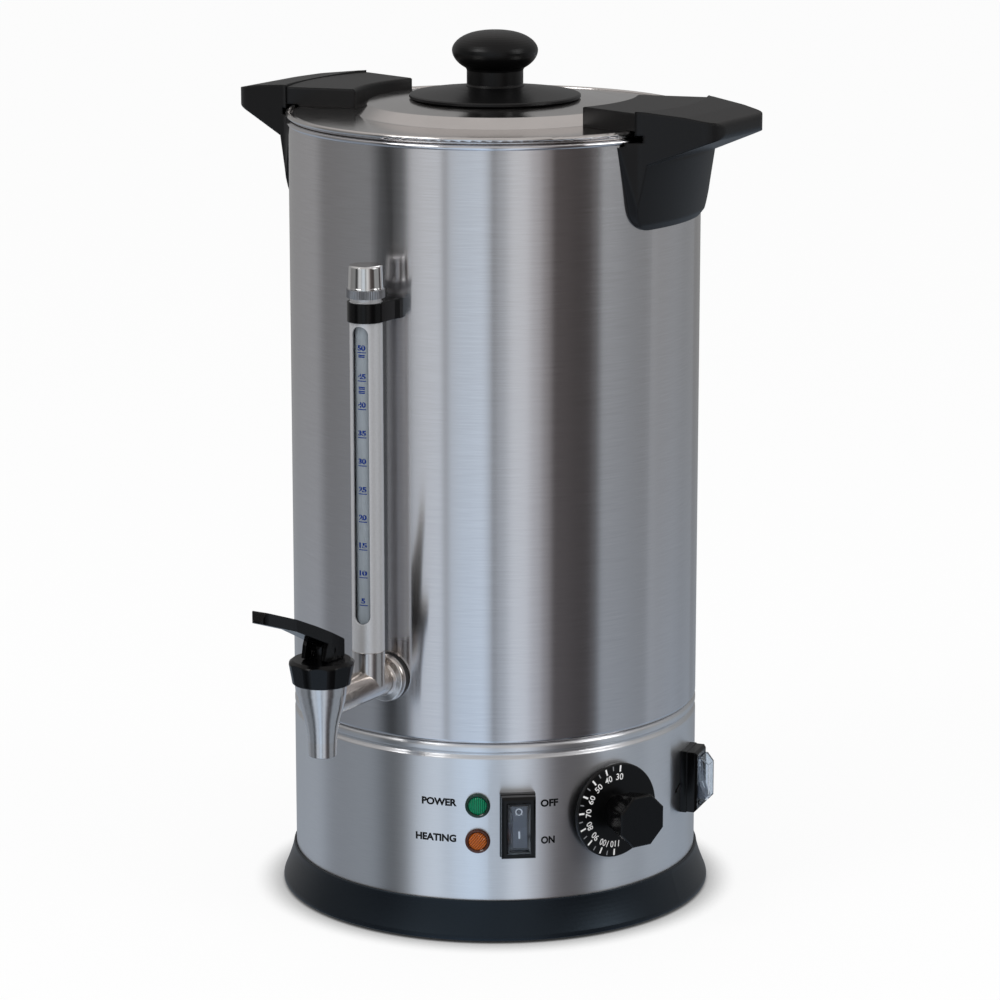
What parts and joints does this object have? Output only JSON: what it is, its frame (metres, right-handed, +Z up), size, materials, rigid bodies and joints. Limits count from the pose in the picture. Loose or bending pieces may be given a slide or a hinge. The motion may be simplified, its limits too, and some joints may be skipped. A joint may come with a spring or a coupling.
{
  "type": "hot water urn",
  "caption": "Electric hot water urn: steel tank on a black flared base, lift-off lid, side handles, press-down tap with a level gauge, lamps, rocker switches and a thermostat dial.",
  "frame": {"origin": "on the tank's axis, on the plane of the feet", "axes": "+Z up along the tank's axis, -Y towards the tap, +X towards the right handle as seen from the tap's side"},
  "size_m": [0.338, 0.394, 0.5326],
  "materials": {
    "brushed_steel": "brushed round the body",
    "polished_steel": "polished",
    "tap_metal": "satin",
    "screw_steel": "bright",
    "black_plastic": "fine satin",
    "dark_plastic": "satin gloss",
    "rubber": "matte",
    "silicone": "matte, milky",
    "clear_plastic": "clear",
    "green_lens": "clear green",
    "amber_lens": "clear amber",
    "spreader_metal": "as cast",
    "element_sheath": "dull",
    "ceramic": "glazed ceramic",
    "switch_plastic": "satin gloss"
  },
  "bodies": {
    "housing": {"base_ring": "black_plastic", "base_plate": "brushed_steel", "feet": "rubber", "base_screws": "screw_steel", "lower_shell": "brushed_steel", "tie_rods": "screw_steel", "tie_nuts": "screw_steel", "power_inlet": "black_plastic", "inlet_screws": "screw_steel", "tank": "brushed_steel", "heat_plate": "spreader_metal", "heating_element": "element_sheath", "heat_shield": "polished_steel", "boil_dry_cutout": "dark_plastic", "thermostat_body": "screw_steel", "thermostat_bulb": "screw_steel", "dial_nut": "screw_steel", "terminal_block": "ceramic", "left_handle": "black_plastic", "right_handle": "black_plastic", "handle_screws": "screw_steel", "tap_pipe": "tap_metal", "wall_seal": "rubber", "back_nut": "tap_metal", "tap_body": "tap_metal", "bonnet": "dark_plastic", "gauge_shield": "polished_steel", "gauge_tube": "clear_plastic", "gauge_bracket": "dark_plastic", "bracket_screws": "screw_steel", "gauge_seals": "rubber", "gauge_collar": "tap_metal", "gauge_cap": "polished_steel", "power_lamp_bezel": "dark_plastic", "power_lamp_lens": "green_lens", "heating_lamp_bezel": "dark_plastic", "heating_lamp_lens": "amber_lens", "front_switch_frame": "dark_plastic", "front_switch_boot": "clear_plastic", "front_switch_body": "dark_plastic", "side_switch_frame": "dark_plastic", "side_switch_boot": "clear_plastic", "side_switch_body": "dark_plastic"},
    "lid": {"lid_panel": "polished_steel", "lid_skirt": "polished_steel", "left_lug": "black_plastic", "right_lug": "black_plastic", "lug_screws": "screw_steel", "knob_flange": "black_plastic", "lid_knob": "black_plastic", "knob_bolt": "screw_steel"},
    "stem": {"tap_stem": "dark_plastic", "lever_pin": "screw_steel", "seat_cup": "silicone"},
    "lever": {"tap_lever": "dark_plastic"},
    "front_switch_rocker": {"front_rocker": "switch_plastic"},
    "side_switch_rocker": {"side_rocker": "switch_plastic"},
    "dial": {"dial_skirt": "dark_plastic", "dial_knob": "dark_plastic", "thermostat_shaft": "screw_steel"}
  },
  "joints": [
    {"name": "lid_lift", "type": "slide", "parent": "housing", "child": "lid", "axis": [0, 0, 1], "range_m": [0, 0.15]},
    {"name": "stem_lift", "type": "slide", "parent": "housing", "child": "stem", "axis": [0, 0, 1], "range_m": [0, 0.00262], "deforming": ["seat_cup"]},
    {"name": "lever_press", "type": "hinge", "parent": "stem", "child": "lever", "pos_m": [0, -0.195, 0.1925], "axis": [1, 0, 0], "range_deg": [0, 30], "stiffness_Nm_per_rad": 0.03, "springref_deg": -17.19},
    {"name": "front_rocker_tip", "type": "hinge", "parent": "housing", "child": "front_switch_rocker", "pos_m": [0.07962, -0.10528, 0.0726], "axis": [0.7976, 0.6032, 0], "range_deg": [0, 24]},
    {"name": "side_rocker_tip", "type": "hinge", "parent": "housing", "child": "side_switch_rocker", "pos_m": [0.12935, 0.02632, 0.0764], "axis": [-0.1994, 0.9799, 0], "range_deg": [0, 24]},
    {"name": "dial_turn", "type": "hinge", "parent": "housing", "child": "dial", "pos_m": [0.11992, -0.05516, 0.0756], "axis": [0.9085, -0.4179, 0], "range_deg": [-190, 0]}
  ],
  "couplings": [
    {"joint": "stem_lift", "follows": "lever_press", "m_per_rad": 0.005}
  ]
}
